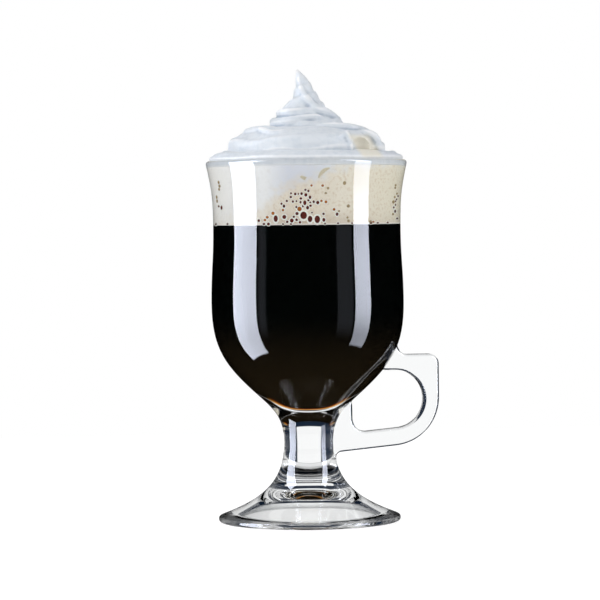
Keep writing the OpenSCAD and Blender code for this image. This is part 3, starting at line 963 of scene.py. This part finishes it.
def foam_material():
    """Beige milk foam, with cream smeared down the glass over its upper and left part."""
    m = Material("milk_foam")
    m.set(Roughness=0.6, Specular_IOR_Level=0.1)
    x, y, z = m.place()
    round_front = m.plus(m.math("ARCTAN2", x, m.times(y, -1)), VIEW_TURN)
    across = m.fade(round_front, -math.pi / 2, math.pi / 2, smooth=False)
    behind = m.fade(m.math("ABSOLUTE", round_front), *BEHIND)
    edge = m.times(m.curve(across, SMEAR_SHARES), m.minus(1, behind))
    edge = m.plus(edge, m.times(behind, SMEAR_BEHIND_SHARE))
    stray = m.times(m.minus(m.grain(*STRAY_GRAIN), 0.5), STRAY)
    height = m.fade(z, *FOAM_SPAN_Z, smooth=False)
    smear = m.fade(m.plus(m.minus(height, edge), stray), *SMEAR_SPAN)
    beige = m.mottle(m.mix(behind, m.ramp(across, BEIGE_SHARES), BEIGE_BEHIND), *TAN_MOTTLE)
    seep = m.times(m.fade(z, *SEEP_Z), m.ramp(across, SEEP_SHARES), SEEP_PART)
    beige = m.mix(seep, beige, SEEP)
    pale = m.mottle(m.mix(behind, m.ramp(across, PALE_SHARES), PALE_BEHIND), *GREY_MOTTLE)
    line = m.times(m.fade(z, *LINE_Z), LINE_PART)
    m.set(Base_Color=m.mix(line, m.mix(smear, beige, pale), LINE))
    return m.material


# Skin of the bubbles: the scale and detail of its grain
BUBBLE_GRAIN = (900, 1)


def bubble_material(name, middle, rim):
    """The skin of a bubble, also used for the painted highlight rims, uneven between two colours."""
    m = Material(name)
    m.set(Roughness=0.4, Specular_IOR_Level=0.2)
    m.set(Base_Color=m.mottle(rim, middle, *BUBBLE_GRAIN))
    return m.material


# Cream: two tints that go over into each other, flecks, a fine grain, painted shade in the creases and
# painted highlight on proud folds, with the spans of the crease measure that they set in over
CREAM_MOTTLE = ((0.68, 0.73, 0.785), (0.75, 0.78, 0.82), 60, 2)
CREAM_FLECKS = ((0.58, 0.64, 0.71), 420, 5, (0.42, 0.68), 0.45)
CREAM_GRAIN, CREAM_GRAIN_DEPTH, CREAM_GRAIN_STRENGTH = (520, 5), 0.0003, 0.7
CREAM_PAINTED_SHADE, CREAM_PAINTED_HIGHLIGHT = (0.40, 0.46, 0.54), (0.90, 0.91, 0.93)
PAINTED_SHADE_SPAN, PAINTED_HIGHLIGHT_SPAN = (0.1, 1.2), (-0.2, -1.2)
# Foam that shows in the scooped hollow: its colour, its place across at a height and its lean to
# the right further down, the span of its half width, and its spans of height and of depth
HOLLOW_TINT, HOLLOW_PART = (0.84, 0.80, 0.69), 0.85
HOLLOW_ACROSS, HOLLOW_Z, HOLLOW_LEAN = 0.0228, 0.150, 0.6
HOLLOW_HALF_W = (0.0054, 0.0028)
HOLLOW_TOP, HOLLOW_BASE, HOLLOW_FRONT = (0.1548, 0.1522), (0.1436, 0.1456), (-0.008, -0.012)


def hollow_mask(m):
    """Where the foam shows in the hollow of the cream, beside the front fold."""
    x, y, z = m.place()
    right = m.plus(m.times(x, math.cos(VIEW_TURN)), m.times(y, -math.sin(VIEW_TURN)))
    lean = m.times(m.minus(HOLLOW_Z, z), HOLLOW_LEAN)
    aside = m.math("ABSOLUTE", m.minus(right, m.plus(HOLLOW_ACROSS, lean)))
    tall = m.times(m.fade(z, *HOLLOW_TOP), m.fade(z, *HOLLOW_BASE))
    front = m.times(m.fade(y, *HOLLOW_FRONT), HOLLOW_PART)
    return m.times(m.fade(aside, *HOLLOW_HALF_W), tall, front)


def cream_material():
    """Whipped cream, a cool white with painted shade in its creases and painted highlight on proud folds."""
    m = Material("whipped_cream")
    m.set(Roughness=0.5, Specular_IOR_Level=0.25)
    tint = m.mottle(m.mottle(*CREAM_MOTTLE), *CREAM_FLECKS)
    crease = m.add("ShaderNodeAttribute", attribute_name="crease").outputs["Fac"]
    # Painted shade darkens the creases and painted highlight lightens the proud folds
    tint = m.mix(m.fade(crease, *PAINTED_SHADE_SPAN), tint, CREAM_PAINTED_SHADE)
    tint = m.mix(m.fade(crease, *PAINTED_HIGHLIGHT_SPAN), tint, CREAM_PAINTED_HIGHLIGHT)
    m.set(Base_Color=m.mix(hollow_mask(m), tint, HOLLOW_TINT))
    m.bump(m.grain(*CREAM_GRAIN), CREAM_GRAIN_DEPTH, CREAM_GRAIN_STRENGTH)
    return m.material


def dress(obj, material, slot, *nodes):
    """Gives a finished piece its material and body, and hides the nodes that it stands for; the slot is not
    used.
    """
    obj.data.materials.clear()
    obj.data.materials.append(material)
    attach(obj, "root")
    if nodes:
        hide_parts(*nodes)


camera = make_camera()
mug_glass = make_mug_glass()
dress(mug_glass, glass_material(), "clear_glass", "bowl", "stem", "foot", "handle")
dress(make_coffee(), coffee_material(), "coffee", "coffee")
foam_fill = make_foam()
dress(foam_fill, foam_material(), "milk_foam", "foam_head")

dark, amber, faint = (
    picked_domes(picks, camera, mug_glass, foam_fill)
    for picks in (DARK_BUBBLES, AMBER_BUBBLES, FAINT_BUBBLES))
for name, domes, middle, rim in (
        ("dark_bubbles", dark, (0.16, 0.02, 0.01), (0.05, 0.004, 0.002)),
        ("amber_bubbles", amber, (0.55, 0.20, 0.03), (0.22, 0.05, 0.01)),
        ("faint_bubbles", faint, (0.50, 0.40, 0.22), (0.26, 0.18, 0.09)),
        ("foam_leaves", leaf_domes(foam_fill), (0.72, 0.67, 0.52), (0.58, 0.52, 0.38))):
    dress(make_domes(name, domes, BUBBLE_DEPTH_SHARE), bubble_material(name, middle, rim), "milk_foam")
# Pale rims round the dark and amber bubbles: a painted highlight
dress(
    make_domes("painted_highlight_rims", dark + amber, HIGHLIGHT_RIM_DEPTH_SHARE, HIGHLIGHT_RIM_SPREAD_SHARE),
    bubble_material("painted_highlight_rim", (0.97, 0.96, 0.90), (0.90, 0.93, 0.86)), "milk_foam")

cream = cream_material()
dress(make_cream_bed(), cream, "whipped_cream", "cream_bed")
dress(make_cream_swirl(), cream, "whipped_cream", "cream_swirl")

# Floor: its size, its height, a hair under the foot, its grey and how much it glows
FLOOR_SIZE, PAPER_Z = 0.9, -0.0002
FLOOR_GREY, FLOOR_GLOW = (0.45, 0.45, 0.45), 0.75
# White spot of table that only the foot shows, lit where it is seen at a slant or straight through
SPOT_R, SPOT_Z, SPOT_STEPS = 0.036, -0.0003, 96
SPOT_GLOW, SPOT_SLANT = 0.9, (0.35, 0.75)
WHITE, BLACK = (1, 1, 1), (0, 0, 0)
# Rays that haven't been mirrored inside the glass have a Glossy Depth under this
STRAIGHT_DEPTH = 0.5


def make_floor():
    """A white floor that keeps the shadow, open from below so that the foot's underside is seen."""
    bpy.ops.mesh.primitive_plane_add(size=FLOOR_SIZE, location=(0, 0, PAPER_Z))
    floor = bpy.context.object
    floor.name = "floor"
    m = Material("floor_paper")
    m.set(Base_Color=FLOOR_GREY, Roughness=0.9, Specular_IOR_Level=0.0)
    m.set(Emission_Color=WHITE, Emission_Strength=FLOOR_GLOW)
    below = m.add("ShaderNodeMixShader")
    m.join(m.add("ShaderNodeNewGeometry").outputs["Backfacing"], below.inputs[0])
    m.join(m.shader.outputs[0], below.inputs[1])
    m.join(m.add("ShaderNodeBsdfTransparent").outputs[0], below.inputs[2])
    m.join(below.outputs[0], m.output.inputs["Surface"])
    floor.data.materials.append(m.material)
    floor.visible_glossy = floor.visible_transmission = False
    return floor


def make_table_spot():
    """What the foot shows of the table under it."""
    bpy.ops.mesh.primitive_circle_add(
        vertices=SPOT_STEPS, radius=SPOT_R, fill_type="NGON", location=(0, 0, SPOT_Z))
    spot = bpy.context.object
    spot.name = "table_spot"
    m = Material("table_white")
    m.set(Base_Color=BLACK, Specular_IOR_Level=0.0, Emission_Color=WHITE)
    slant = m.fade(m.add("ShaderNodeLayerWeight").outputs["Facing"], *SPOT_SLANT)
    depth = m.add("ShaderNodeLightPath").outputs["Glossy Depth"]
    lit = m.math("MAXIMUM", slant, m.math("LESS_THAN", depth, STRAIGHT_DEPTH))
    m.set(Emission_Strength=m.times(lit, SPOT_GLOW))
    spot.data.materials.append(m.material)
    spot.visible_camera = spot.visible_diffuse = spot.visible_glossy = spot.visible_shadow = False
    return spot


# Studio, in degrees. Azimuth 0 is straight behind the glass, as the viewer sees it, and 180 is on
# the viewer's side. Through itself the glass shows a lit backdrop between dark flags, white from
# the viewer's side, ground below and white overhead. No height is past PAST
PAST = 200
BACKDROP, BACKDROP_HEIGHT, BACKDROP_SOFT = (-19.5, 19.5), (-26, 17), 1
GROUND_HEIGHT, OVERHEAD_HEIGHT = (-PAST, -26), (45, PAST)
FLAG_ENDS, FLAG_SOFT, FRONT_LEVEL = (-70, 70), 2, 0.9
FLAG_TINT = (0.011, 0.021, 0.042)
# Level of the ground to rays mirrored inside the glass, and to rays straight through it
GROUND_LEVEL, PAPER_LEVEL = 0.1, 0.85
# The strips that the glass mirrors: azimuths, heights, how soft their ends are, their level low
# down, what is added above a height, and that height
LEFT_STRIP = ((-116, -80), (-43, 60), 1, 0.8, 0.2, -14)
RIGHT_STRIP = ((99, 121), (-34, 60), 2, 0.4, 0.48, -10)
STRIP_LEVEL, STRIP_SOFT, STRIP_RISE = 15, 0.7, 14
STRIP_TINT = (0.90, 0.95, 1.10)
# Faint bands beside the strips, towards the viewer
LEFT_BAND, LEFT_BAND_SOFT = (-129, -119), 2
RIGHT_BAND, RIGHT_BAND_SOFT = (124, 144), 1
BAND_HEIGHT, BAND_FADE, BAND_LEVEL = (-20, 60), 10, 0.35
# Light for matt surfaces: plain from all round and a little more from the sides, and more again
# for what stands behind glass, which keeps some of it back
MATT_LEVEL, SIDE_LEVEL, GLAZED_GAIN = 0.75, 0.2, 0.9
LEFT_SIDE, RIGHT_SIDE, SIDE_HEIGHT, SIDE_SOFT = (-130, -55), (55, 130), (-20, 70), 10
# Rays that have left a matt surface have a Diffuse Depth over this
SCATTERED_DEPTH = 0.5


def make_strip(w, azimuth, height, across, up, end_soft, low_level, added, rise_height):
    """A strip of light, dimmer low down."""
    level = w.plus(low_level, w.times(w.band(height, rise_height, PAST, STRIP_RISE), added))
    return w.times(w.band(azimuth, *across, STRIP_SOFT), w.band(height, *up, end_soft), level)


def mirrored_level(w, azimuth, height):
    """What the outside of the glass mirrors: two strips, and faint bands beside them."""
    strips = w.plus(*(make_strip(w, azimuth, height, *strip) for strip in (LEFT_STRIP, RIGHT_STRIP)))
    bands = w.plus(w.band(azimuth, *LEFT_BAND, LEFT_BAND_SOFT), w.band(azimuth, *RIGHT_BAND, RIGHT_BAND_SOFT))
    bands = w.times(bands, w.band(height, *BAND_HEIGHT, BAND_FADE), BAND_LEVEL)
    return w.plus(w.times(strips, STRIP_LEVEL), bands)


def clear_level(w, azimuth, height, glossy_depth):
    """What the glass shows through itself: 0 is a dark flag."""
    ahead = w.band(azimuth, *BACKDROP, BACKDROP_SOFT)
    backdrop = w.times(ahead, w.band(height, *BACKDROP_HEIGHT, BACKDROP_SOFT))
    front = w.times(w.minus(1, w.band(azimuth, *FLAG_ENDS, FLAG_SOFT)), FRONT_LEVEL)
    straight = w.math("LESS_THAN", glossy_depth, STRAIGHT_DEPTH)
    paper = w.plus(GROUND_LEVEL, w.times(straight, PAPER_LEVEL - GROUND_LEVEL))
    ground = w.times(w.band(height, *GROUND_HEIGHT, BACKDROP_SOFT), paper)
    overhead = w.band(height, *OVERHEAD_HEIGHT, BACKDROP_SOFT)
    return w.math("MAXIMUM", w.math("MAXIMUM", backdrop, front), w.math("MAXIMUM", ground, overhead))


def matt_level(w, azimuth, height, through):
    """The light that matt surfaces get."""
    sides = w.plus(w.band(azimuth, *LEFT_SIDE, SIDE_SOFT), w.band(azimuth, *RIGHT_SIDE, SIDE_SOFT))
    sides = w.times(sides, w.band(height, *SIDE_HEIGHT, SIDE_SOFT), SIDE_LEVEL)
    return w.times(w.plus(MATT_LEVEL, sides), w.plus(1, w.times(through, GLAZED_GAIN)))


def make_world():
    """White to the camera, soft grey to matt surfaces, and a studio with strips to glass."""
    world = bpy.data.worlds.new("studio")
    bpy.context.scene.world = world
    world.use_nodes = True
    world.node_tree.nodes.clear()
    w = Nodes(world.node_tree)
    x, y, z = w.place("Generated")
    turned = w.minus(w.math("ARCTAN2", x, y), VIEW_TURN)
    azimuth = w.times(w.math("WRAP", turned, math.pi, -math.pi), math.degrees(1))
    height = w.times(w.math("ARCSINE", z), math.degrees(1))

    path = w.add("ShaderNodeLightPath").outputs
    through = path["Is Transmission Ray"]
    scattered = w.math("GREATER_THAN", path["Diffuse Depth"], SCATTERED_DEPTH)
    direct = w.minus(1, scattered)
    bent = w.times(direct, through)
    mirrored = w.times(direct, path["Is Glossy Ray"], w.minus(1, through))

    clear = clear_level(w, azimuth, height, path["Glossy Depth"])
    matt = w.times(scattered, matt_level(w, azimuth, height, through))
    plain = w.plus(path["Is Camera Ray"], matt, w.times(bent, clear))
    strips = w.times(mirrored, mirrored_level(w, azimuth, height))
    flags = w.times(bent, w.minus(1, clear))

    colour = w.add("ShaderNodeCombineXYZ")
    for socket, strip_tint, flag_tint in zip(colour.inputs, STRIP_TINT, FLAG_TINT):
        w.join(w.plus(plain, w.times(strips, strip_tint), w.times(flags, flag_tint)), socket)
    background = w.add("ShaderNodeBackground")
    w.join(colour.outputs[0], background.inputs["Color"])
    w.join(background.outputs[0], w.add("ShaderNodeOutputWorld").inputs["Surface"])


# Key light, high on the viewer's left: its place, size and power, and the height that it aims at
KEY_PLACE = (-0.6, -0.45, 0.5)
KEY_SIZE, KEY_POWER, KEY_AIM_Z = 0.5, 1.5, 0.14


def make_key_light():
    """A soft lamp that models the cream and is seen by neither mirrors nor glass."""
    bpy.ops.object.light_add(type="AREA", location=KEY_PLACE)
    lamp = bpy.context.object
    lamp.data.shape = "SQUARE"
    lamp.data.size = KEY_SIZE
    lamp.data.energy = KEY_POWER
    aim = Vector((0, 0, KEY_AIM_Z)) - lamp.location
    lamp.rotation_euler = aim.to_track_quat("-Z", "Y").to_euler()
    lamp.visible_glossy = False
    lamp.visible_transmission = False


# Light is followed further than usual, as it runs round in the foot many times
ALL_BOUNCES, MIRROR_BOUNCES = 16, 8

make_floor()
make_table_spot()
make_world()
make_key_light()
bpy.context.scene.view_settings.view_transform = "Standard"
bpy.context.scene.cycles.max_bounces = ALL_BOUNCES
bpy.context.scene.cycles.transmission_bounces = ALL_BOUNCES
bpy.context.scene.cycles.glossy_bounces = MIRROR_BOUNCES
